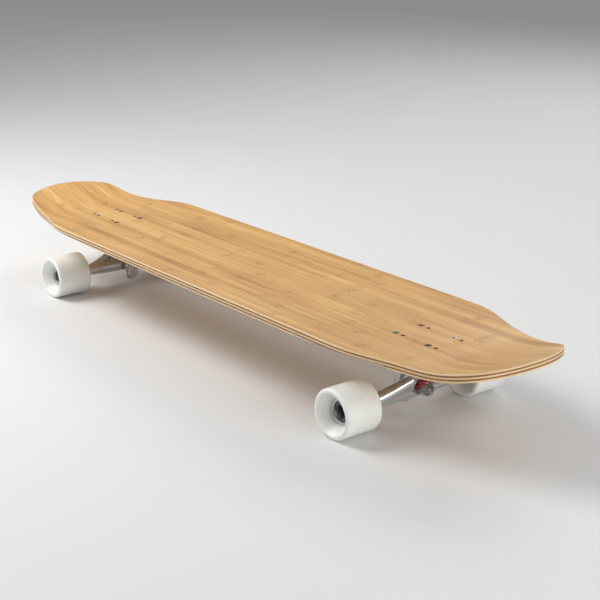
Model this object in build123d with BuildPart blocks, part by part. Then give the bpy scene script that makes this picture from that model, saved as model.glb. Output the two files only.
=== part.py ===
from build123d import *

from math import asin, cos, degrees, radians, sin
import os

# A kicktail longboard: a five-ply laminated deck on two reverse-kingpin trucks and four wheels.
#
# Millimetres. The origin is on the ground, midway between the trucks. +X points to the nose,
# +Y to the left side and +Z up. The board is the same at both ends, so each truck is made at
# the nose and turned half a turn about Z for the tail.

os.makedirs("parts", exist_ok=True)

# ---------------------------------------------------------------- driving dimensions
# Deck
deck_half_length = 514.0
deck_half_width = 117.0
deck_thickness = 10.0
ply_names = ["deck_top_ply", "deck_upper_crossply", "deck_core_ply", "deck_lower_crossply", "deck_bottom_ply"]
flat_half_width = 30.0  # the deck is flat this far from the middle, and then its rails curve up
rail_radius = 540.0
kick_start = 413.0  # where nose and tail begin to rise
kick_radius = 200.0
kick_angle = 17.0
deck_top_z = 101.8
edge_round = 1.0

# Plan outline of the deck
nose_radius = 117.0
nose_arc_angle = 31.0
corner_radius = 35.0
corner_arc_angle = 44.0
shoulder_start_x = 295.0
shoulder_points = [(425.0, 88.0), (385.0, 97.4), (345.0, 111.4)]

# Wheel wells under the rails
well_inner_y = 73.0
well_start_x = 226.0
well_end_x = 384.0
well_depth = 5.0

# Mounting bolts
bolt_spacing_x = 53.98
bolt_spacing_y = 41.28
bolt_centre_x = 340.2
bolt_radius = 2.4
bolt_hole_radius = 2.6
bolt_head_radius = 4.75
spare_hole_offset = 12.7
spare_hole_radius = 2.5
locknut_flats = 9.5
locknut_height = 5.8

# Truck: the kingpin leans outwards and down, and the hanger turns about the pivot axis
axle_x = 326.5
axle_z = 30.7
kingpin_tilt = 40.0  # below the horizontal
ring_centre_x = 334.8
ring_centre_z = 47.3
pivot_reach = 38.0  # from the ring's centre to the pivot's ball
kingpin_radius = 4.76
hanger_half_width = 90.0
axle_radius = 4.0
axle_half_length = 124.0

ring_radius = 19.0
ring_half_height = 6.5
seat_half_gap = 3.3  # half the web between the two bushing seats
seat_radius = 12.3
ring_hole_radius = 8.5
bushing_radius = 12.0
bushing_bore = 4.9
boardside_bushing_height = 13.0
roadside_bushing_height = 11.0
washer_thickness = 1.6
kingpin_nut_flats = 14.3
kingpin_nut_height = 7.5
kingpin_end = 25.2
kingpin_head_height = 6.5
kingpin_seat_height = 16.0

pivot_ball_radius = 5.0
pivot_clearance = 0.05
cup_outer_radius = 7.2
dome_radius = 9.6
plate_thickness = 6.5
plate_inboard_x = 301.0
plate_outboard_x = 382.0
plate_half_width = 28.5

# Wheels and 608 bearings
wheel_radius = 30.7
wheel_outer_y = 130.4
wheel_inner_y = 77.8
wheel_edge_round = 3.4
dish_mouth_radius = 25.8
core_end_radius = 12.5
core_middle_radius = 17.0
core_shoulder_radius = 8.8
speed_ring_thickness = 1.0
speed_ring_radius = 6.0
bearing_width = 7.0
bearing_radius = 11.0
bearing_gap = 10.0
ball_radius = 1.985
ball_count = 7
pitch_radius = 7.5
groove_radius = 2.06
race_clearance = 0.03
inner_race_radius = 6.15
outer_race_inner_radius = 9.0
shield_outer_radius = 9.45
shield_inner_radius = 6.45
shield_thickness = 0.4
shield_outer_face = 3.4
axle_nut_flats = 12.7
axle_nut_height = 6.4

# ---------------------------------------------------------------- places worked out from them
ply_thickness = deck_thickness / len(ply_names)
deck_bottom_z = deck_top_z - deck_thickness
kick = radians(kick_angle)
tilt = radians(kingpin_tilt)

ring_centre = Vector(ring_centre_x, 0, ring_centre_z)
down_pin = Vector(cos(tilt), 0, -sin(tilt))  # along the kingpin, towards its nut
up_axis = Vector(sin(tilt), 0, cos(tilt))  # along the pivot axis, towards the deck
across = Vector(0, 1, 0)

# Plane.local: x across the board, y up the pivot axis, z down the kingpin
pin_plane = Plane(origin=ring_centre, x_dir=across, z_dir=down_pin)
pivot_centre = ring_centre - up_axis * pivot_reach
pivot_plane = Plane(origin=pivot_centre, x_dir=across, z_dir=up_axis)
# The truck's side view: x up the pivot axis, y up the kingpin
side_plane = Plane(origin=ring_centre, x_dir=up_axis, z_dir=-across)

bolt_places = [
    (bolt_centre_x + i * bolt_spacing_x / 2, j * bolt_spacing_y / 2) for i in (-1, 1) for j in (-1, 1)
]
bearing_outer_y = hanger_half_width + speed_ring_thickness + 2 * bearing_width + bearing_gap
bearing_middles = [
    hanger_half_width + speed_ring_thickness + bearing_width / 2,
    bearing_outer_y - bearing_width / 2,
]
hub_middle_y = sum(bearing_middles) / 2


def save(piece, name):
    """Writes a finished piece under its own name."""
    piece.part.label = name
    export_step(piece.part, f"parts/{name}.step")


def save_both_ends(piece, name):
    """Writes a piece of the nose's truck, and the same piece turned half a turn for the tail."""
    save(piece, f"front_{name}")
    with BuildPart() as turned:
        add(piece.part, rotation=(0, 0, 180))
    save(turned, f"rear_{name}")


def save_all_corners(piece, name):
    """Writes a piece of the nose's left wheel, and its copies at the other three corners."""
    right = piece.part.mirror(Plane.XZ)
    for corner, solid, turn in (
        ("front_left", piece.part, 0),
        ("front_right", right, 0),
        ("rear_right", piece.part, 180),
        ("rear_left", right, 180),
    ):
        with BuildPart() as placed:
            add(solid, rotation=(0, 0, turn))
        save(placed, f"{corner}_{name}")


def hexagon(flats):
    """A hexagon by its width across flats."""
    return RegularPolygon(flats / 2, 6, major_radius=False)


# ---------------------------------------------------------------- deck
def ply_section(plane, top, bottom):
    """The deck's cross-section between two depths below its top face, on a plane across the board."""
    blank_half_width = deck_half_width + 6
    rail_angle = degrees(asin((blank_half_width - flat_half_width) / rail_radius))
    with BuildSketch(plane) as section:
        with BuildLine():
            top_flat = Line((-flat_half_width, -top), (flat_half_width, -top))
            top_left = JernArc(top_flat @ 1, (1, 0), rail_radius, rail_angle)
            top_right = JernArc(top_flat @ 0, (-1, 0), rail_radius, -rail_angle)
            low_flat = Line((-flat_half_width, -bottom), (flat_half_width, -bottom))
            low_left = JernArc(low_flat @ 1, (1, 0), rail_radius, rail_angle)
            low_right = JernArc(low_flat @ 0, (-1, 0), rail_radius, -rail_angle)
            Line(top_left @ 1, low_left @ 1)
            Line(top_right @ 1, low_right @ 1)
        make_face()
    return section.sketch


with BuildSketch() as outline:
    with BuildLine():
        nose = CenterArc((deck_half_length - nose_radius, 0), nose_radius, 0, nose_arc_angle)
        corner = JernArc(nose @ 1, nose % 1, corner_radius, corner_arc_angle)
        shoulder = Spline(
            corner @ 1,
            *shoulder_points,
            (shoulder_start_x, deck_half_width),
            tangents=(corner % 1, (-1, 0)),
        )
        side = Line(shoulder @ 1, (0, deck_half_width))
        middle = Line(side @ 1, (0, 0))
        Line(middle @ 1, nose @ 0)
    make_face()
    mirror(about=Plane.XZ)
    mirror(about=Plane.YZ)

# A well is cut along a line that rises with the rail. Its floor fades towards the middle of the board.
well_inner_z = deck_bottom_z + (well_inner_y - flat_half_width) ** 2 / (2 * rail_radius)
rail_edge_z = deck_bottom_z + (deck_half_width - flat_half_width) ** 2 / (2 * rail_radius)
well_slope = (rail_edge_z + well_depth - well_inner_z) / (deck_half_width - well_inner_y)
well_rise = Vector(0, 1, well_slope).normalized()
with BuildPart() as wells:
    with BuildSketch(Plane(origin=(0, well_inner_y, well_inner_z), x_dir=(1, 0, 0), z_dir=-well_rise)):
        with BuildLine():
            floor = Line((well_start_x, -well_depth), (well_end_x - 8, 0))
            wall = ThreePointArc(floor @ 1, (well_end_x - 2.4, -2.1), (well_end_x, -7.5))
            Polyline(wall @ 1, (well_end_x, -14), (well_start_x, -14), floor @ 0)
        make_face()
    extrude(amount=-70)
    mirror(about=Plane.XZ)
    mirror(about=Plane.YZ)

kick_end = Vector(kick_start + kick_radius * sin(kick), 0, deck_top_z + kick_radius * (1 - cos(kick)))
kick_straight = (deck_half_length + 6 - kick_end.X) / cos(kick)

middle_plane = Plane(origin=(0, 0, deck_top_z), x_dir=across, z_dir=(1, 0, 0))
kick_plane = Plane(origin=(kick_start, 0, deck_top_z), x_dir=across, z_dir=(1, 0, 0))
kick_axis = Axis((kick_start, 0, deck_top_z + kick_radius), (0, -1, 0))
tip_plane = Plane(origin=kick_end, x_dir=across, z_dir=(cos(kick), 0, sin(kick)))

for layer, ply_name in enumerate(ply_names):
    top, bottom = layer * ply_thickness, (layer + 1) * ply_thickness
    with BuildPart() as ply:
        extrude(ply_section(middle_plane, top, bottom), amount=kick_start)
        revolve(ply_section(kick_plane, top, bottom), axis=kick_axis, revolution_arc=kick_angle)
        extrude(ply_section(tip_plane, top, bottom), amount=kick_straight)
        mirror(about=Plane.YZ)
        extrude(outline.sketch, amount=2 * deck_top_z, mode=Mode.INTERSECT)
        if layer in (0, len(ply_names) - 1):
            sides = ply.faces().filter_by(lambda face: abs(face.normal_at().Z) < 0.1)
            pick = max if layer == 0 else min
            arrises = [
                pick(face.edges().filter_by(lambda edge: abs((edge % 0.5).Z) < 0.9), key=lambda e: e.center().Z)
                for face in sides
            ]
            fillet(arrises, edge_round)
        add(wells.part, mode=Mode.SUBTRACT)
        for turn in (1, -1):
            with Locations(*[(turn * x, turn * y, deck_top_z) for x, y in bolt_places]):
                CounterSinkHole(bolt_hole_radius, bolt_head_radius, 2 * deck_thickness, 90)
            with Locations(*[(turn * (x + spare_hole_offset), turn * y, deck_top_z) for x, y in bolt_places]):
                Hole(spare_hole_radius, 2 * deck_thickness)
    save(ply, ply_name)

# ---------------------------------------------------------------- deck hardware
bolt_length = 28.0
bolt_head_inset = 0.1
socket_flats = 3.2
socket_depth = 2.0
bolt_colours = {
    "green": [(1, -1, -1), (-1, 1, 1)],
    "copper": [(1, -1, 1), (-1, -1, -1)],
    "purple": [(1, 1, -1), (-1, -1, 1)],
    "silver": [(1, 1, 1), (-1, 1, -1)],
}


def bolt_place(end, outboard, side):
    """Where one deck bolt stands. end is 1 at the nose, outboard 1 away from the middle, side 1 on the left."""
    return (end * (bolt_centre_x + outboard * bolt_spacing_x / 2), side * bolt_spacing_y / 2)


head_radius = bolt_head_radius - bolt_head_inset
head_top = deck_top_z - bolt_head_inset
for colour, places in bolt_colours.items():
    with BuildPart() as bolts:
        for place in places:
            with BuildSketch(Plane.XY.offset(head_top)):
                with Locations(bolt_place(*place)):
                    Circle(head_radius)
            extrude(amount=-(head_radius - bolt_radius), taper=45)
            with BuildSketch(Plane.XY.offset(head_top)):
                with Locations(bolt_place(*place)):
                    Circle(bolt_radius)
            extrude(amount=-bolt_length)
            with BuildSketch(Plane.XY.offset(head_top)):
                with Locations(bolt_place(*place)):
                    hexagon(socket_flats)
            extrude(amount=-socket_depth, mode=Mode.SUBTRACT)
    save(bolts, f"deck_bolts_{colour}")

plate_bottom_z = deck_bottom_z - plate_thickness
with BuildPart() as locknuts:
    with BuildSketch(Plane.XY.offset(plate_bottom_z)):
        with Locations(*[bolt_place(*place) for places in bolt_colours.values() for place in places]):
            hexagon(locknut_flats)
            Circle(bolt_radius, mode=Mode.SUBTRACT)
    extrude(amount=-locknut_height)
save(locknuts, "deck_locknuts")

# ---------------------------------------------------------------- truck: parts fixed to the deck
boardside_seat = seat_half_gap + boardside_bushing_height + washer_thickness  # up the kingpin
kingpin_head_seat = boardside_seat + kingpin_seat_height
boss_radius = 12.6
web_half_width = 7.5
plate_corner_radius = 9.0
bolt_pass_radius = 2.75
window_size = (16.0, 22.0)
cup_depth = 6.7
cup_mouth = 4.5
pin_axis = Axis(ring_centre, down_pin)
pivot_axis = Axis(ring_centre, up_axis)

with BuildPart() as web:
    with BuildSketch(side_plane):
        with BuildLine():
            Polyline(
                (boss_radius - 0.4, boardside_seat + 3),
                (28.0, 26.0),
                (28.0, 40.0),
                (2.0, 58.0),
                (-2.0, 55.5),
                (-pivot_reach - 8.2, 5.0),
                (-pivot_reach - 5.0, -2.0),
                (-pivot_reach + 1.0, 8.6),
                (-29.0, 12.0),
                (-14.0, boardside_seat),
                (-boss_radius + 0.4, boardside_seat + 3),
                close=True,
            )
        make_face()
    extrude(amount=web_half_width, both=True)
    fillet(web.edges().filter_by(Axis.Y, reverse=True), 2.0)

with BuildPart() as baseplate:
    with BuildSketch(Plane.XY.offset(deck_bottom_z)):
        with Locations(((plate_inboard_x + plate_outboard_x) / 2, 0)):
            RectangleRounded(plate_outboard_x - plate_inboard_x, 2 * plate_half_width, plate_corner_radius)
    extrude(amount=-plate_thickness)
    chamfer(baseplate.faces().sort_by(Axis.Z)[0].edges(), 1.5)
    add(web.part)
    with BuildSketch(pin_plane.offset(-boardside_seat)):
        Circle(boss_radius)
    extrude(amount=-(kingpin_seat_height + 10))
    with BuildSketch(pivot_plane):
        Circle(dome_radius)
    extrude(amount=cup_mouth)
    with Locations(pivot_plane):
        Sphere(dome_radius)
    with BuildSketch(pivot_plane.offset(cup_mouth)):
        Circle(dome_radius + 0.4)
    extrude(amount=8, mode=Mode.SUBTRACT)
    # Everything above the deck's underside goes
    with BuildSketch(Plane.XY.offset(deck_bottom_z)):
        with Locations((ring_centre_x, 0)):
            Rectangle(200, 100)
    extrude(amount=40, mode=Mode.SUBTRACT)
    # Kingpin bore and the hexagonal well of its head
    with BuildSketch(pin_plane.offset(-boardside_seat + 1)):
        Circle(kingpin_radius + 0.1)
    extrude(amount=-(kingpin_seat_height + 2), mode=Mode.SUBTRACT)
    with BuildSketch(pin_plane.offset(-kingpin_head_seat)):
        hexagon(kingpin_nut_flats + 0.4)
    extrude(amount=-40, mode=Mode.SUBTRACT)
    # Socket of the pivot cup
    with BuildSketch(pivot_plane.offset(cup_mouth + 1)):
        Circle(cup_outer_radius)
    extrude(amount=-(cup_depth + cup_mouth + 1), mode=Mode.SUBTRACT)
    # Bolt holes and a window
    with BuildSketch(Plane.XY.offset(deck_bottom_z + 1)):
        with Locations(*bolt_places):
            Circle(bolt_pass_radius)
        with Locations((bolt_centre_x + 14, 0)):
            RectangleRounded(*window_size, 5)
    extrude(amount=-(plate_thickness + 2), mode=Mode.SUBTRACT)
save_both_ends(baseplate, "baseplate")

ball_hollow_radius = pivot_ball_radius + pivot_clearance
cup_top = -pivot_reach + cup_mouth + 0.6
cup_bottom = -pivot_reach - cup_depth
with BuildPart() as pivot_cup:
    with BuildSketch(side_plane):
        with BuildLine():
            hollow = CenterArc((-pivot_reach, 0), ball_hollow_radius, 90, 90)
            Polyline(
                hollow @ 0,
                (cup_top, ball_hollow_radius),
                (cup_top, cup_outer_radius),
                (cup_bottom, cup_outer_radius),
                (cup_bottom, 0),
                hollow @ 1,
            )
        make_face()
    revolve(axis=pivot_axis)
save_both_ends(pivot_cup, "pivot_cup")

with BuildPart() as kingpin:
    with BuildSketch(pin_plane.offset(-kingpin_head_seat)):
        Circle(kingpin_radius)
    extrude(amount=kingpin_head_seat + kingpin_end)
    chamfer(kingpin.faces().sort_by(pin_axis)[-1].edges(), 0.8)
    with BuildSketch(pin_plane.offset(-kingpin_head_seat)):
        hexagon(kingpin_nut_flats)
    extrude(amount=-kingpin_head_height)
save_both_ends(kingpin, "kingpin")


def bushing(start, height):
    """A urethane barrel between two heights along the kingpin."""
    with BuildPart() as barrel:
        with BuildSketch(side_plane):
            with BuildLine():
                bulge = ThreePointArc(
                    (bushing_radius - 0.9, start),
                    (bushing_radius, start + height / 2),
                    (bushing_radius - 0.9, start + height),
                )
                Polyline(bulge @ 1, (bushing_bore, start + height), (bushing_bore, start), bulge @ 0)
            make_face()
        revolve(axis=pin_axis)
    return barrel


save_both_ends(bushing(seat_half_gap, boardside_bushing_height), "boardside_bushing")
save_both_ends(bushing(-seat_half_gap - roadside_bushing_height, roadside_bushing_height), "roadside_bushing")

roadside_washer_start = seat_half_gap + roadside_bushing_height
with BuildPart() as washers:
    for height, radius in ((-boardside_seat, 12.4), (roadside_washer_start, 10.2)):
        with BuildSketch(pin_plane.offset(height)):
            Circle(radius)
            Circle(kingpin_radius + 0.1, mode=Mode.SUBTRACT)
        extrude(amount=washer_thickness)
save_both_ends(washers, "kingpin_washers")


def locking_nut(plane, flats, height, bore):
    """A hexagonal nut with the round collar of its nylon ring, standing on a plane."""
    hex_height = height * 0.75
    with BuildPart() as nut:
        with BuildSketch(plane):
            hexagon(flats)
        extrude(amount=hex_height)
        with BuildSketch(plane.offset(hex_height)):
            Circle(flats * 0.45)
        extrude(amount=height - hex_height, taper=12)
        with BuildSketch(plane.offset(-1)):
            Circle(bore)
        extrude(amount=height + 2, mode=Mode.SUBTRACT)
    return nut


nut_plane = pin_plane.offset(roadside_washer_start + washer_thickness)
save_both_ends(locking_nut(nut_plane, kingpin_nut_flats, kingpin_nut_height, kingpin_radius), "kingpin_nut")

# ---------------------------------------------------------------- truck: the hanger and what rides on it
axle_centre = Vector(axle_x, 0, axle_z)
axle_plane = Plane(origin=axle_centre, x_dir=across, z_dir=(1, 0, 0))  # x along the axle, y outwards from it
axle_axis = Axis(axle_centre, across)
housing_end_radius = 6.5
housing_middle_radius = 10.4
from_ring = axle_centre - ring_centre
axle_along = from_ring.dot(up_axis)
axle_up_pin = -from_ring.dot(down_pin)
# Sections of one arm: distance from the middle, centre along the pivot axis and up the kingpin, half sizes
arm_sections = [
    (8.0, axle_along + 11.0, axle_up_pin + 2.6, 19.0, 8.4),
    (26.0, axle_along + 6.6, axle_up_pin + 1.8, 16.0, 8.8),
    (50.0, axle_along + 1.8, axle_up_pin + 0.8, 10.6, 8.6),
    (76.0, axle_along + 0.2, axle_up_pin, 7.6, 7.4),
]

with BuildPart() as hanger:
    with BuildSketch(axle_plane):
        with BuildLine():
            top = Spline(
                (0, housing_middle_radius),
                (45, 9.4),
                (80, housing_end_radius + 0.4),
                tangents=((1, 0), (1, -0.06)),
            )
            Polyline(top @ 1, (hanger_half_width, housing_end_radius), (hanger_half_width, 0), (0, 0), top @ 0)
        make_face()
        mirror(about=Plane.YZ)
    revolve(axis=axle_axis)
    for side_sign in (1, -1):
        for middle, along, up_pin, half_along, half_up in arm_sections:
            with BuildSketch(side_plane.offset(-side_sign * middle)):
                with Locations((along, up_pin)):
                    Ellipse(half_along, half_up)
        loft()
    with BuildSketch(pin_plane):
        Circle(ring_radius)
    extrude(amount=ring_half_height, both=True)
    with BuildSketch(side_plane):
        with BuildLine():
            ball = CenterArc((-pivot_reach, 0), pivot_ball_radius, 90, 90)
            Polyline(
                ball @ 0, (-pivot_reach + 6.6, pivot_ball_radius), (axle_along - 8, 8.0), (axle_along, 8.0),
                (axle_along, 0), ball @ 1,
            )
        make_face()
    revolve(axis=pivot_axis)
    # Kingpin hole, the two bushing seats, and room round the roadside bushing
    with BuildSketch(pin_plane.offset(-30)):
        Circle(ring_hole_radius)
    extrude(amount=60, mode=Mode.SUBTRACT)
    with BuildSketch(pin_plane.offset(-seat_half_gap)):
        Circle(seat_radius)
    extrude(amount=-20, mode=Mode.SUBTRACT)
    with BuildSketch(pin_plane.offset(seat_half_gap)):
        Circle(seat_radius)
    extrude(amount=20, mode=Mode.SUBTRACT)
    with BuildSketch(pin_plane.offset(ring_half_height)):
        Circle(seat_radius + 2.8)
    extrude(amount=20, mode=Mode.SUBTRACT)
    with BuildSketch(axle_plane):
        with Locations((0, axle_radius / 2)):
            Rectangle(2 * hanger_half_width + 2, axle_radius)
    revolve(axis=axle_axis, mode=Mode.SUBTRACT)
save_both_ends(hanger, "hanger")


def turned_rings(rectangles):
    """Rings about the axle, each from (start, end, inner radius, outer radius), on both sides of the truck."""
    with BuildPart() as rings:
        with BuildSketch(axle_plane):
            for start, end, inner, outer in rectangles:
                with Locations(((start + end) / 2, (inner + outer) / 2)):
                    Rectangle(end - start, outer - inner)
        revolve(axis=axle_axis)
    return rings


def on_both_sides(piece):
    """A piece with its mirror image on the other end of the axle."""
    with BuildPart() as pair:
        add(piece.part)
        mirror(piece.part, about=Plane.XZ)
    return pair


with BuildPart() as axle:
    with BuildSketch(axle_plane):
        with Locations((0, axle_radius / 2)):
            Rectangle(2 * axle_half_length, axle_radius)
    revolve(axis=axle_axis)
    chamfer(axle.edges().filter_by(lambda edge: abs(abs(edge.center().Y) - axle_half_length) < 0.01), 0.7)
save_both_ends(axle, "axle")

speed_ring_starts = (hanger_half_width, bearing_outer_y)
speed_rings = turned_rings(
    [(start, start + speed_ring_thickness, axle_radius, speed_ring_radius) for start in speed_ring_starts]
)
save_both_ends(on_both_sides(speed_rings), "speed_rings")

nut_start = bearing_outer_y + speed_ring_thickness
axle_nut_plane = Plane(origin=axle_centre + across * nut_start, x_dir=(0, 0, 1), z_dir=across)
save_both_ends(
    on_both_sides(locking_nut(axle_nut_plane, axle_nut_flats, axle_nut_height, axle_radius)), "axle_nuts"
)

spacer_start = bearing_middles[0] + bearing_width / 2
spacer_radius = 5.4
bearing_spacer = turned_rings([(spacer_start, spacer_start + bearing_gap, axle_radius, spacer_radius)])
save_both_ends(on_both_sides(bearing_spacer), "bearing_spacers")


def races(inner, outer, groove_centre_radius, shield_rebate):
    """The inner or the outer races of one wheel's two bearings, with the balls' groove turned in them."""
    with BuildPart() as pair:
        with BuildSketch(axle_plane):
            for middle in bearing_middles:
                with Locations((middle, (inner + outer) / 2)):
                    Rectangle(bearing_width, outer - inner)
                with Locations((middle, groove_centre_radius)):
                    Circle(groove_radius, mode=Mode.SUBTRACT)
                if shield_rebate:
                    depth = bearing_width / 2 - shield_outer_face + shield_thickness
                    for face in (-1, 1):
                        with Locations((middle + face * (bearing_width - depth) / 2, shield_outer_radius / 2)):
                            Rectangle(depth, shield_outer_radius, mode=Mode.SUBTRACT)
        revolve(axis=axle_axis)
    return pair


inner_groove = pitch_radius - ball_radius - race_clearance + groove_radius
outer_groove = pitch_radius + ball_radius + race_clearance - groove_radius
inner_races = races(axle_radius, inner_race_radius, inner_groove, False)
save_both_ends(on_both_sides(inner_races), "bearing_inner_races")

# ---------------------------------------------------------------- wheels
core_overhang = 0.2  # the core stands this far proud of its bearings
core_start = bearing_middles[0] - bearing_width / 2 - core_overhang
core_end = bearing_outer_y + core_overhang
core_grip_half = 6.5
core_neck_half = 7.5
dish_floor_radius = 14.0
step_radius = 16.2  # a narrow step runs round each hub hole
step_height = 1.8

core_outside = [
    (core_end, core_end_radius),
    (hub_middle_y + core_neck_half, core_end_radius),
    (hub_middle_y + core_grip_half, core_middle_radius),
    (hub_middle_y - core_grip_half, core_middle_radius),
    (hub_middle_y - core_neck_half, core_end_radius),
    (core_start, core_end_radius),
]

with BuildPart() as tyre:
    with BuildSketch(axle_plane):
        with BuildLine():
            Polyline(
                *core_outside,
                (core_start - 0.6, dish_floor_radius),
                (core_start - 0.6, step_radius - 0.5),
                (core_start - 0.6 - step_height, step_radius),
                (wheel_inner_y, dish_mouth_radius),
                (wheel_inner_y, wheel_radius),
                (wheel_outer_y, wheel_radius),
                (wheel_outer_y, dish_mouth_radius),
                (core_end + 0.6 + step_height, step_radius),
                (core_end + 0.6, step_radius - 0.5),
                (core_end + 0.6, dish_floor_radius),
                close=True,
            )
        make_face()
    revolve(axis=axle_axis)
    rims = tyre.edges().filter_by(GeomType.CIRCLE).group_by(lambda edge: round(edge.radius, 2))
    fillet(rims[-1], wheel_edge_round)
    fillet(rims[-2], 0.8)
save_all_corners(tyre, "wheel_tyre")

with BuildPart() as core:
    with BuildSketch(axle_plane):
        with BuildLine():
            Polyline(
                *core_outside,
                (core_start, bearing_radius),
                (spacer_start, bearing_radius),
                (spacer_start, core_shoulder_radius),
                (spacer_start + bearing_gap, core_shoulder_radius),
                (spacer_start + bearing_gap, bearing_radius),
                (core_end, bearing_radius),
                close=True,
            )
        make_face()
    revolve(axis=axle_axis)
save_all_corners(core, "wheel_core")

save_all_corners(races(outer_race_inner_radius, bearing_radius, outer_groove, True), "bearing_outer_races")

shields = turned_rings(
    [
        sorted((middle + face * (shield_outer_face - shield_thickness), middle + face * shield_outer_face))
        + [shield_inner_radius, shield_outer_radius]
        for middle in bearing_middles
        for face in (-1, 1)
    ]
)
save_all_corners(shields, "bearing_shields")

cage_inner_radius = 6.75
cage_outer_radius = 8.25
cage_back = -2.75
cage_front = 1.0
pocket_clearance = 0.1

with BuildPart() as balls:
    for middle in bearing_middles:
        ball_plane = Plane(origin=axle_centre + across * middle, x_dir=(0, 0, 1), z_dir=across)
        with Locations(ball_plane):
            with PolarLocations(pitch_radius, ball_count):
                Sphere(ball_radius)
save_all_corners(balls, "bearing_balls")

with BuildPart() as cages:
    for middle in bearing_middles:
        ball_plane = Plane(origin=axle_centre + across * middle, x_dir=(0, 0, 1), z_dir=across)
        with BuildSketch(ball_plane.offset(cage_back)):
            Circle(cage_outer_radius)
            Circle(cage_inner_radius, mode=Mode.SUBTRACT)
        extrude(amount=cage_front - cage_back)
        with Locations(ball_plane):
            with PolarLocations(pitch_radius, ball_count):
                Sphere(ball_radius + pocket_clearance, mode=Mode.SUBTRACT)
save_all_corners(cages, "bearing_cages")
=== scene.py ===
import math

import bmesh
import bpy
from mathutils import Matrix, Vector


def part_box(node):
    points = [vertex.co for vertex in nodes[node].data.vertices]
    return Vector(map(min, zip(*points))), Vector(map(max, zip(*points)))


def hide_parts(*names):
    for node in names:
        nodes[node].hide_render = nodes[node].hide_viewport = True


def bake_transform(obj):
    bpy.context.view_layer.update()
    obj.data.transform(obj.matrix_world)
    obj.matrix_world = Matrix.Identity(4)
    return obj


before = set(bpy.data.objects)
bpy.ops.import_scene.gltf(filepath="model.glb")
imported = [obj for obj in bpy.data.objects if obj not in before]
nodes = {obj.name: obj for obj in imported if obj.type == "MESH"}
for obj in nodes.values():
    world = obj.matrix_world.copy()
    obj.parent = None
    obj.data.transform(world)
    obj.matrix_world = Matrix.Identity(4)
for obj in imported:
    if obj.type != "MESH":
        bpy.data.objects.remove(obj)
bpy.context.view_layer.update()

ENDS = ("front", "rear")
DIRECTION = {"front": 1, "rear": -1}

# Where the trucks are, in metres. The ring is the part of the hanger between the two bushings. Its middle
# and the kingpin's tilt below the horizontal are the CAD model's own values.
axle_low, axle_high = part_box("front_axle")
AXLE_X = (axle_low.x + axle_high.x) / 2
AXLE_Z = (axle_low.z + axle_high.z) / 2
RING_X = 0.3348
RING_Z = 0.0473
KINGPIN_TILT = math.radians(40)


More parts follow.
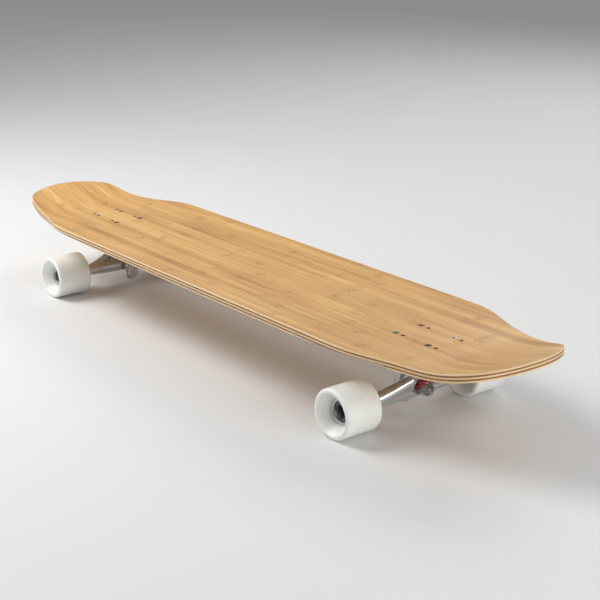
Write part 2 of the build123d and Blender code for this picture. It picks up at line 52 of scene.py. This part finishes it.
# ---------------------------------------------------------------- shader helper
class Surface:
    """A Principled material, with short calls for the nodes that feed it.

    x, y and z are object coordinates. Every piece has its origin at the frame's, so at rest they are
    places in the frame, in metres, and they stay with the piece when it moves.
    """

    def __init__(self, name, **uniform):
        self.material = bpy.data.materials.new(name)
        self.material.use_nodes = True
        self.tree = self.material.node_tree
        self.shader = self.tree.nodes["Principled BSDF"]
        for socket, value in uniform.items():
            self.shader.inputs[socket.replace("_", " ")].default_value = value
        self.place = self.node("ShaderNodeTexCoord").outputs["Object"]
        parts = self.node("ShaderNodeSeparateXYZ", {0: self.place})
        self.x, self.y, self.z = parts.outputs

    def feed(self, socket, value):
        """Links a node's output to a socket, or sets the socket to a plain value."""
        if isinstance(value, bpy.types.NodeSocket):
            self.tree.links.new(value, socket)
        else:
            socket.default_value = value

    def node(self, kind, inputs=None, **settings):
        """Adds a node, with its settings as keywords and its inputs by name or number."""
        made = self.tree.nodes.new(kind)
        for name, value in settings.items():
            setattr(made, name, value)
        for key, value in (inputs or {}).items():
            self.feed(made.inputs[key], value)
        return made

    def math(self, operation, a, b=0.0, clamp=False):
        made = self.node("ShaderNodeMath", {0: a, 1: b}, operation=operation, use_clamp=clamp)
        return made.outputs[0]

    def add(self, a, b):
        return self.math("ADD", a, b)

    def subtract(self, a, b):
        return self.math("SUBTRACT", a, b)

    def multiply(self, a, b, clamp=False):
        return self.math("MULTIPLY", a, b, clamp)

    def divide(self, a, b):
        return self.math("DIVIDE", a, b)

    def distance(self, a, b):
        """How far apart two numbers are."""
        return self.math("ABSOLUTE", self.subtract(a, b))

    def length(self, a, b):
        """The long side of a right triangle whose short sides are a and b."""
        return self.math("SQRT", self.add(self.multiply(a, a), self.multiply(b, b)))

    def noise(self, scale, stretch=(1, 1, 1), detail=4.0, roughness=0.55):
        """Soft noise from 0 to 1. stretch gives each axis its own frequency."""
        placed = self.node("ShaderNodeMapping", {"Vector": self.place, "Scale": stretch})
        return self.node(
            "ShaderNodeTexNoise",
            {"Vector": placed.outputs[0], "Scale": scale, "Detail": detail, "Roughness": roughness},
        ).outputs[0]

    def random(self, a, b=0.0):
        """One random number from 0 to 1 for each pair of whole numbers."""
        pair = self.node("ShaderNodeCombineXYZ", {0: a, 1: b}).outputs[0]
        return self.node("ShaderNodeTexWhiteNoise", {"Vector": pair}, noise_dimensions="3D").outputs[0]

    def fit(self, value, low, high, new_low=0.0, new_high=1.0, smooth=False):
        """Takes the range from low to high to the new one, and holds what lies beyond it at the ends."""
        kind = "SMOOTHSTEP" if smooth else "LINEAR"
        return self.node(
            "ShaderNodeMapRange",
            {0: value, 1: low, 2: high, 3: new_low, 4: new_high},
            interpolation_type=kind,
        ).outputs[0]

    def ramp(self, value, *stops):
        """Blends between colours, each at its own place from 0 to 1."""
        made = self.node("ShaderNodeValToRGB", {0: value})
        elements = made.color_ramp.elements
        while len(elements) < len(stops):
            elements.new(0.5)
        for element, (position, color) in zip(elements, stops):
            element.position = position
            element.color = (*color, 1)
        return made.outputs[0]

    def mix(self, factor, a, b):
        """Colour a where the factor is 0 and colour b where it is 1."""
        made = self.node("ShaderNodeMix", data_type="RGBA")
        for index, value in ((0, factor), (6, a), (7, b)):
            if isinstance(value, tuple):
                value = (*value, 1)
            self.feed(made.inputs[index], value)
        return made.outputs[2]

    def bump(self, height, distance, strength=1.0, under=None):
        """A normal from a height, of which 1 stands for distance in metres, on top of another normal."""
        made = self.node("ShaderNodeBump", {"Height": height, "Strength": strength, "Distance": distance})
        if under:
            self.feed(made.inputs["Normal"], under)
        return made.outputs[0]

    def wheel_radius(self):
        """Distance from the nearer axle's line."""
        along = self.subtract(self.math("ABSOLUTE", self.x), AXLE_X)
        return self.length(along, self.subtract(self.z, AXLE_Z))

    def finish(self, color, roughness, normal=None):
        self.feed(self.shader.inputs["Base Color"], color)
        self.feed(self.shader.inputs["Roughness"], roughness)
        if normal:
            self.feed(self.shader.inputs["Normal"], normal)
        return self.material


def scaled(color, factor):
    return tuple(factor * part for part in color)


# ---------------------------------------------------------------- wood
# A pair of sizes says where a look starts and where it is full
STRIP_WIDTH = 0.0158
STRIP_LENGTH = 0.46
STRIP_WANDER = 0.0012
NODE_SPACING = 0.23
SPARE_HOLES_X = (0.3259, 0.3799)
SPARE_HOLES_Y = 0.0206
SPARE_HOLE_EDGE = (0.0028, 0.0024)
SCUFFED_TIP = (0.492, 0.513)
SCUFFED_RAIL = (0.110, 0.117)
SEAM_COLOR = (0.30, 0.16, 0.06)
NODE_COLOR = (0.25, 0.115, 0.036)
SCUFF_COLOR = (0.74, 0.57, 0.36)
# A painted highlight for the deck's rounded edge and sides
RIM_HIGHLIGHT_COLOR = (0.90, 0.69, 0.41)
# A painted shade for the holes that hold no bolt
HOLE_SHADE_COLOR = (0.045, 0.014, 0.007)


def growth_nodes(s, tone, streaks):
    """A broken line of short dark dashes across each strip, where the cane had a joint."""
    phase = s.add(s.divide(s.x, NODE_SPACING), s.multiply(tone, 5.0))
    curved = s.add(s.math("FRACT", phase), s.multiply(streaks, 0.05))
    dashes = s.fit(s.noise(1, (160, 620, 100), detail=3, roughness=0.7), 0.50, 0.62)
    return s.multiply(s.fit(s.distance(curved, 0.5), 0.052, 0.008), dashes, clamp=True)


def glue_lines(s, across, along):
    """Thin lines between the strips, and stronger ones at their butt ends."""
    seam = s.fit(s.distance(s.math("FRACT", across), 0.5), 0.478, 0.497)
    butt = s.fit(s.distance(s.math("FRACT", along), 0.5), 0.4978, 0.4992)
    return s.math("MAXIMUM", s.multiply(seam, 0.20), s.multiply(butt, 0.34))


def scuffs(s):
    """Patches where nose, tail and rails get knocked."""
    tip = s.fit(s.math("ABSOLUTE", s.x), *SCUFFED_TIP, smooth=True)
    rail = s.fit(s.math("ABSOLUTE", s.y), *SCUFFED_RAIL, smooth=True)
    patches = s.fit(s.noise(190, detail=5), 0.50, 0.68)
    return s.multiply(s.math("MAXIMUM", tip, rail), patches, clamp=True)


def painted_rim_highlight(s):
    """Where the painted highlight goes: the rounded edge and the sides, which don't face straight up or
    down.
    """
    normal = s.node("ShaderNodeNewGeometry").outputs["Normal"]
    upward = s.node("ShaderNodeSeparateXYZ", {0: normal}).outputs[2]
    return s.fit(s.math("ABSOLUTE", upward), 0.94, 0.85)


def spare_hole_shade(s):
    """Where painted shade goes: the walls and lips of the holes that hold no bolt."""
    off_x = [s.distance(s.math("ABSOLUTE", s.x), hole) for hole in SPARE_HOLES_X]
    off_y = s.subtract(s.math("ABSOLUTE", s.y), SPARE_HOLES_Y)
    return s.fit(s.length(s.math("MINIMUM", *off_x), off_y), *SPARE_HOLE_EDGE)


def bamboo(name, shade):
    """Flat-pressed bamboo: strips along the deck, each with its own tone, fine fibres and growth nodes."""
    s = Surface(name, Coat_Weight=0.18, Coat_Roughness=0.22)
    wander = s.fit(s.noise(5, (1, 3, 1), detail=2), 0, 1, -STRIP_WANDER, STRIP_WANDER)
    across = s.divide(s.add(s.y, wander), STRIP_WIDTH)
    strip = s.math("FLOOR", across)
    along = s.add(s.divide(s.x, STRIP_LENGTH), s.multiply(s.random(strip), 9.0))
    tone = s.random(strip, s.math("FLOOR", along))

    fibres = s.noise(1, (7, 420, 90), detail=6, roughness=0.62)
    streaks = s.noise(1, (2.2, 75, 20), detail=4)
    clouds = s.noise(9, (0.5, 1.4, 1), detail=3)
    value = s.add(s.multiply(fibres, 0.50), s.multiply(streaks, 0.34))
    value = s.add(value, s.multiply(tone, 0.075))
    value = s.add(value, s.multiply(clouds, 0.20))
    color = s.ramp(
        s.fit(value, 0.37, 0.72),
        (0.0, scaled((0.36, 0.160, 0.042), shade)),
        (0.40, scaled((0.56, 0.300, 0.092), shade)),
        (0.72, scaled((0.68, 0.400, 0.138), shade)),
        (1.0, scaled((0.80, 0.53, 0.22), shade)),
    )

    node_band = growth_nodes(s, tone, streaks)
    line = glue_lines(s, across, along)
    scuff = scuffs(s)
    color = s.mix(s.multiply(node_band, 0.90), color, scaled(NODE_COLOR, shade))
    color = s.mix(line, color, scaled(SEAM_COLOR, shade))
    color = s.mix(s.multiply(scuff, 0.35), color, scaled(SCUFF_COLOR, shade))
    # Painted highlight: the rounded edge and the sides are made a lighter cream
    color = s.mix(s.multiply(painted_rim_highlight(s), 0.70), color, scaled(RIM_HIGHLIGHT_COLOR, shade))
    # Painted shade: the walls and lips of the empty holes are made almost black
    color = s.mix(spare_hole_shade(s), color, HOLE_SHADE_COLOR)

    roughness = s.add(s.fit(fibres, 0.3, 0.7, 0.36, 0.50), s.multiply(scuff, 0.2))
    relief = s.subtract(s.multiply(fibres, 0.5), s.add(line, node_band))
    return s.finish(color, roughness, s.bump(relief, 0.00012, 0.5))


def cross_ply():
    """The brown crosswise plies, seen as end grain along the deck's edge."""
    s = Surface("ply_brown")
    pores = s.noise(1, (900, 900, 260), detail=4, roughness=0.7)
    bands = s.noise(40, (1, 1, 4), detail=3)
    value = s.add(s.multiply(pores, 0.6), s.multiply(bands, 0.4))
    color = s.ramp(
        s.fit(value, 0.34, 0.66),
        (0.0, (0.15, 0.062, 0.022)),
        (0.55, (0.30, 0.138, 0.052)),
        (1.0, (0.46, 0.245, 0.105)),
    )
    return s.finish(color, s.fit(pores, 0.3, 0.7, 0.45, 0.68), s.bump(pores, 0.00010, 0.6))


# ---------------------------------------------------------------- metals
THREAD_PITCH = 0.00106
AXLE_THREAD_START = 0.1215
KINGPIN_THREAD_START = 0.0170
LATHE_RING_SPACING = 0.0006


def metal(
    name, dark, light, roughness, grain_scale=700, grain=(1, 1, 1), grime=0.3, relief=None, metallic=1.0
):
    """Bare metal: fine grain, cloudy tone, and darker grime in patches.

    roughness is the lowest and highest. relief adds a turned or cut surface: it takes the surface and
    returns a height and the distance that height stands for.
    """
    s = Surface(name, Metallic=metallic)
    fine = s.noise(grain_scale, grain, detail=5, roughness=0.65)
    clouds = s.noise(26, detail=2, roughness=0.5)
    patches = s.fit(s.noise(95, detail=6, roughness=0.7), 0.60, 0.85)
    tone = s.add(s.multiply(fine, 0.35), s.multiply(clouds, 0.65))
    color = s.ramp(s.fit(tone, 0.32, 0.68), (0.0, dark), (1.0, light))
    color = s.mix(s.multiply(patches, grime), color, scaled(dark, 0.45))
    rough = s.add(s.fit(tone, 0.32, 0.68, *roughness), s.multiply(patches, 0.12))
    normal = s.bump(fine, 0.000012, 0.5)
    if relief:
        normal = s.bump(*relief(s), under=normal)
    return s.finish(color, rough, normal)


def thread(s, along, start):
    """A screw thread past a place along an axis."""
    wave = s.math("SINE", s.multiply(along, 2 * math.pi / THREAD_PITCH))
    return s.multiply(wave, s.fit(along, start, start + THREAD_PITCH)), 0.00025


def axle_thread(s):
    return thread(s, s.math("ABSOLUTE", s.y), AXLE_THREAD_START)


def kingpin_thread(s):
    """The thread at the road end, measured down the kingpin from the ring's middle."""
    out = s.multiply(s.subtract(s.math("ABSOLUTE", s.x), RING_X), math.cos(KINGPIN_TILT))
    down = s.multiply(s.subtract(RING_Z, s.z), math.sin(KINGPIN_TILT))
    return thread(s, s.add(out, down), KINGPIN_THREAD_START)


def lathe_rings(s):
    """Fine rings about the nearer axle, as a lathe leaves them."""
    return s.math("SINE", s.multiply(s.wheel_radius(), 2 * math.pi / LATHE_RING_SPACING)), 0.00002


def painted_bolt(name, paint):
    """A painted countersunk bolt, with the paint rubbed down to the steel in places."""
    s = Surface(name, Coat_Weight=0.1, Coat_Roughness=0.2)
    rubbed = s.fit(s.noise(620, detail=6, roughness=0.7), 0.60, 0.74)
    tone = s.fit(s.noise(260, detail=3), 0.3, 0.7)
    color = s.ramp(tone, (0.0, scaled(paint, 0.6)), (1.0, scaled(paint, 1.3)))
    color = s.mix(s.multiply(rubbed, 0.75), color, (0.52, 0.50, 0.47))
    s.feed(s.shader.inputs["Metallic"], s.multiply(rubbed, 0.9))
    return s.finish(color, s.fit(tone, 0, 1, 0.25, 0.42), s.bump(rubbed, 0.00004, 0.6))


# ---------------------------------------------------------------- urethane and plastic
# Distances from the axle's line where a look starts and where it is full
TREAD_EDGE = (0.0297, 0.0306)
# The painted shade round the hub, where the dish steps down to the bearing
HUB_SHADE = (0.0168, 0.0155)


def wheel_urethane():
    """Poured off-white urethane: ground lines round the tread, some road dust, and a painted shade that
    greys the face near the hub.
    """
    s = Surface("wheel_urethane", Subsurface_Weight=0.12, Subsurface_Scale=0.003, IOR=1.5)
    s.shader.inputs["Subsurface Radius"].default_value = (1.0, 0.95, 0.85)
    radius = s.wheel_radius()
    tread = s.fit(radius, *TREAD_EDGE, smooth=True)
    ground_lines = s.noise(1, (25, 2600, 25), detail=4, roughness=0.7)
    mottle = s.noise(120, detail=5, roughness=0.6)
    dust = s.fit(s.noise(75, (1, 2.2, 1), detail=6, roughness=0.68), 0.54, 0.86)
    color = s.ramp(s.fit(mottle, 0.3, 0.7), (0.0, (0.80, 0.82, 0.78)), (1.0, (0.87, 0.885, 0.845)))
    dusty = s.multiply(dust, s.fit(tread, 0, 1, 0.05, 0.16))
    color = s.mix(dusty, color, (0.40, 0.385, 0.35))
    # Painted shade: the face turns greyer close to the hub
    hub_shade = s.multiply(s.fit(radius, *HUB_SHADE), 0.34, clamp=True)
    color = s.mix(hub_shade, color, (0.34, 0.36, 0.37))
    rough = s.add(s.fit(mottle, 0.3, 0.7, 0.34, 0.46), s.multiply(tread, 0.12))
    normal = s.bump(mottle, 0.00003, 0.4)
    normal = s.bump(s.multiply(ground_lines, tread), 0.00005, 0.6, under=normal)
    return s.finish(color, rough, normal)


def plastic(name, dark, light, roughness, scale=400, rings=False):
    """Moulded plastic with a fine speckle. roughness is the lowest and highest."""
    s = Surface(name)
    speckle = s.noise(scale, detail=5, roughness=0.65)
    color = s.ramp(s.fit(speckle, 0.3, 0.7), (0.0, dark), (1.0, light))
    normal = s.bump(speckle, 0.00003, 0.5)
    if rings:
        normal = s.bump(*lathe_rings(s), 0.8, under=normal)
    return s.finish(color, s.fit(speckle, 0.3, 0.7, *roughness), normal)


def bushing_urethane():
    """Dark red translucent urethane with a slightly dusty skin."""
    s = Surface(
        "bushing_urethane", Transmission_Weight=0.25, Subsurface_Weight=0.3, Subsurface_Scale=0.004,
        Coat_Weight=0.5, Coat_Roughness=0.12, IOR=1.5,
    )
    s.shader.inputs["Subsurface Radius"].default_value = (1.0, 0.15, 0.12)
    cloud = s.noise(150, detail=4)
    dust = s.fit(s.noise(420, detail=6, roughness=0.7), 0.55, 0.80)
    color = s.ramp(s.fit(cloud, 0.3, 0.7), (0.0, (0.23, 0.008, 0.025)), (1.0, (0.42, 0.022, 0.055)))
    color = s.mix(s.multiply(dust, 0.25), color, (0.36, 0.20, 0.20))
    return s.finish(color, s.fit(cloud, 0.3, 0.7, 0.16, 0.30), s.bump(dust, 0.00003, 0.5))


# ---------------------------------------------------------------- what each node is made of
light_bamboo = bamboo("bamboo", 1.0)
inner_bamboo = bamboo("bamboo_inner", 0.92)
brown_ply = cross_ply()
green_bolt = painted_bolt("bolt_green", (0.13, 0.17, 0.065))
copper_bolt = painted_bolt("bolt_copper", (0.26, 0.050, 0.018))
purple_bolt = painted_bolt("bolt_purple", (0.105, 0.012, 0.020))
silver_bolt = metal("bolt_steel", (0.40, 0.34, 0.23), (0.72, 0.64, 0.48), (0.30, 0.45), grain_scale=900)
plated_steel = metal("steel", (0.30, 0.30, 0.31), (0.55, 0.55, 0.55), (0.16, 0.30), grain_scale=1200)
kingpin_steel = metal(
    "kingpin_steel", (0.38, 0.38, 0.39), (0.66, 0.66, 0.66), (0.24, 0.38), relief=kingpin_thread
)
# Painted shade: the axle and the bearing races are made nearly black steel to stand for the shade deep in
# the wheel's hub, where their ends show
axle_steel = metal("axle_steel", (0.13, 0.13, 0.135), (0.30, 0.30, 0.30), (0.24, 0.38), relief=axle_thread)
race_steel = metal(
    "race_steel", (0.10, 0.10, 0.11), (0.22, 0.22, 0.23), (0.16, 0.26), grime=0.1, relief=lathe_rings
)
dark_steel = metal("dark_steel", (0.055, 0.055, 0.058), (0.15, 0.15, 0.155), (0.26, 0.42))
cast_aluminium = metal(
    "cast_aluminium", (0.52, 0.53, 0.54), (0.70, 0.71, 0.71), (0.22, 0.32),
    grain_scale=620, grain=(1, 0.2, 1), grime=0.12, metallic=0.82,
)
core_black = plastic("core_black", (0.010, 0.010, 0.012), (0.030, 0.030, 0.034), (0.38, 0.55))
shield_black = plastic(
    "shield_black", (0.008, 0.008, 0.009), (0.022, 0.022, 0.024), (0.22, 0.36), scale=900, rings=True
)
cup_black = plastic("cup_urethane", (0.014, 0.014, 0.014), (0.045, 0.045, 0.045), (0.4, 0.6))
cage_nylon = plastic("cage_nylon", (0.50, 0.46, 0.36), (0.66, 0.62, 0.50), (0.4, 0.55))
bushing_red = bushing_urethane()

# A node takes the look of the longest of these endings that its name has
LOOKS = {
    "deck_top_ply": light_bamboo,
    "deck_core_ply": inner_bamboo,
    "deck_bottom_ply": light_bamboo,
    "crossply": brown_ply,
    "deck_bolts_green": green_bolt,
    "deck_bolts_copper": copper_bolt,
    "deck_bolts_purple": purple_bolt,
    "deck_bolts_silver": silver_bolt,
    "deck_locknuts": plated_steel,
    "baseplate": cast_aluminium,
    "hanger": cast_aluminium,
    "pivot_cup": cup_black,
    "kingpin": kingpin_steel,
    "kingpin_washers": plated_steel,
    "kingpin_nut": plated_steel,
    "bushing": bushing_red,
    "axle": axle_steel,
    "axle_nuts": dark_steel,
    "speed_rings": plated_steel,
    "bearing_spacers": plated_steel,
    "races": race_steel,
    "balls": race_steel,
    "bearing_shields": shield_black,
    "bearing_cages": cage_nylon,
    "wheel_tyre": wheel_urethane(),
    "wheel_core": core_black,
}

for node_name, node in nodes.items():
    look = LOOKS[max((end for end in LOOKS if node_name.endswith(end)), key=len)]
    node.data.materials.clear()
    node.data.materials.append(look)


# ---------------------------------------------------------------- bushings, as meshes turned from an outline
BUSHING_BORE = 0.0049
SEAT_RADIUS = 0.0103
SHOULDER_RADIUS = 0.0110
SHOULDER_HEIGHT = 0.00012
SIDE_RADIUS = 0.0111
SIDE_SWELL = 0.0009
GROOVE_DEPTH = 0.00035
GROOVE_WIDTH = 0.035  # as a share of the height, as the grooves' places are
GROOVE_PLACES = (0.22, 0.78)
SIDE_END = 0.03  # where the side starts, as a share of the height
SIDE_STEPS = 28
STEPS_AROUND = 72

# Heights up the kingpin from the ring's middle, of the ring's two faces and the washers that face them
RING_FACE = 0.0033
BOARDSIDE_SEAT = 0.0163
ROADSIDE_SEAT = -0.0143


def bushing_outline(low, high):
    """Radius and height round a cut through the wall: a swelled side with two grooves, then the bore."""
    height = high - low
    outline = [(SEAT_RADIUS, low), (SHOULDER_RADIUS, low + SHOULDER_HEIGHT)]
    for step in range(SIDE_STEPS + 1):
        t = step / SIDE_STEPS
        swell = SIDE_SWELL * math.sin(math.pi * t) ** 0.6
        grooves = [GROOVE_DEPTH * math.exp(-(((t - place) / GROOVE_WIDTH) ** 2)) for place in GROOVE_PLACES]
        share = SIDE_END + (1 - 2 * SIDE_END) * t
        outline.append((SIDE_RADIUS + swell - sum(grooves), low + height * share))
    outline += [(SHOULDER_RADIUS, high - SHOULDER_HEIGHT), (SEAT_RADIUS, high)]
    return outline + [(BUSHING_BORE, high), (BUSHING_BORE, low)]


def revolved(name, outline, centre, axis, across):
    """A closed mesh made by turning an outline of (radius, height) points about an axis."""
    aside = axis.cross(across)
    mesh = bmesh.new()
    rings = []
    for step in range(STEPS_AROUND):
        angle = 2 * math.pi * step / STEPS_AROUND
        ray = across * math.cos(angle) + aside * math.sin(angle)
        rings.append([mesh.verts.new(centre + ray * radius + axis * height) for radius, height in outline])
    for ring, following in zip(rings, rings[1:] + rings[:1]):
        for i in range(len(outline)):
            j = (i + 1) % len(outline)
            mesh.faces.new((ring[i], ring[j], following[j], following[i]))
    bmesh.ops.recalc_face_normals(mesh, faces=mesh.faces)
    data = bpy.data.meshes.new(name)
    mesh.to_mesh(data)
    mesh.free()
    for face in data.polygons:
        face.use_smooth = True
    piece = bpy.data.objects.new(name, data)
    bpy.context.scene.collection.objects.link(piece)
    return piece


for end in ENDS:
    ring_middle = Vector((DIRECTION[end] * RING_X, 0, RING_Z))
    up_pin = Vector((-DIRECTION[end] * math.cos(KINGPIN_TILT), 0, math.sin(KINGPIN_TILT)))
    for side, ring_face, seat in (
        ("boardside", RING_FACE, BOARDSIDE_SEAT),
        ("roadside", -RING_FACE, ROADSIDE_SEAT),
    ):
        outline = bushing_outline(min(ring_face, seat), max(ring_face, seat))
        barrel = revolved(f"{end}_{side}_urethane", outline, ring_middle, up_pin, Vector((0, 1, 0)))
        barrel.data.materials.append(bushing_red)
        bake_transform(barrel)
        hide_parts(f"{end}_{side}_bushing")


# ---------------------------------------------------------------- stage, light and camera
FLOOR_SIZE = 60
FLOOR_COLOR = (0.74, 0.74, 0.74)
SKY_COLOR = (0.83, 0.83, 0.83, 1)
SKY_STRENGTH = 0.40
LIT_PLACE = Vector((0.05, 0, 0.07))


def floor_paint():
    s = Surface("floor")
    cloud = s.noise(3, detail=2)
    return s.finish(s.ramp(cloud, (0.0, scaled(FLOOR_COLOR, 0.97)), (1.0, FLOOR_COLOR)), 0.6)


bpy.ops.mesh.primitive_plane_add(size=FLOOR_SIZE, location=(0, 0, 0))
floor = bpy.context.object
floor.name = "floor"
floor.data.materials.append(floor_paint())

world = bpy.data.worlds.new("studio")
bpy.context.scene.world = world
world.use_nodes = True
sky = world.node_tree.nodes["Background"]
sky.inputs["Color"].default_value = SKY_COLOR
sky.inputs["Strength"].default_value = SKY_STRENGTH


def soft_light(name, place, size, power):
    """A rectangular lamp that points at the board. size is its width and height in metres."""
    data = bpy.data.lights.new(name, "AREA")
    data.shape = "RECTANGLE"
    data.size, data.size_y = size
    data.energy = power
    lamp = bpy.data.objects.new(name, data)
    lamp.location = place
    lamp.rotation_euler = (LIT_PLACE - Vector(place)).to_track_quat("-Z", "Y").to_euler()
    bpy.context.scene.collection.objects.link(lamp)


soft_light("key", (-1.0, -0.75, 1.35), (1.0, 1.0), 29)
soft_light("back", (-0.6, 2.4, 1.9), (2.2, 1.2), 26)
soft_light("side", (2.3, 0.0, 0.70), (1.6, 0.8), 22)

# The photograph's viewing angle. The azimuth is 0 from the board's right side and 90 from its nose.
AZIMUTH = math.radians(51.079)
ELEVATION = math.radians(18.437)
ROLL = math.radians(0.329)
DISTANCE = 1.68398
LOOK_AT = Vector((0.10819, 0, 0.08572))
FOCAL_LENGTH = 77.573
SENSOR_WIDTH = 36
SHIFT = (0.0005, -0.0027)

back = Vector((
    math.sin(AZIMUTH) * math.cos(ELEVATION),
    -math.cos(AZIMUTH) * math.cos(ELEVATION),
    math.sin(ELEVATION),
))
level = Vector((math.cos(AZIMUTH), math.sin(AZIMUTH), 0))
upright = back.cross(level)
right = level * math.cos(ROLL) + upright * math.sin(ROLL)
up = upright * math.cos(ROLL) - level * math.sin(ROLL)
camera_data = bpy.data.cameras.new("camera")
camera_data.lens = FOCAL_LENGTH
camera_data.sensor_width = SENSOR_WIDTH
camera_data.shift_x, camera_data.shift_y = SHIFT
camera_data.clip_start = 0.05
camera = bpy.data.objects.new("camera", camera_data)
turn = Matrix((right, up, back)).transposed().to_4x4()
camera.matrix_world = Matrix.Translation(LOOK_AT + back * DISTANCE) @ turn
bpy.context.scene.collection.objects.link(camera)
bpy.context.scene.camera = camera
bpy.context.scene.view_settings.view_transform = "Standard"
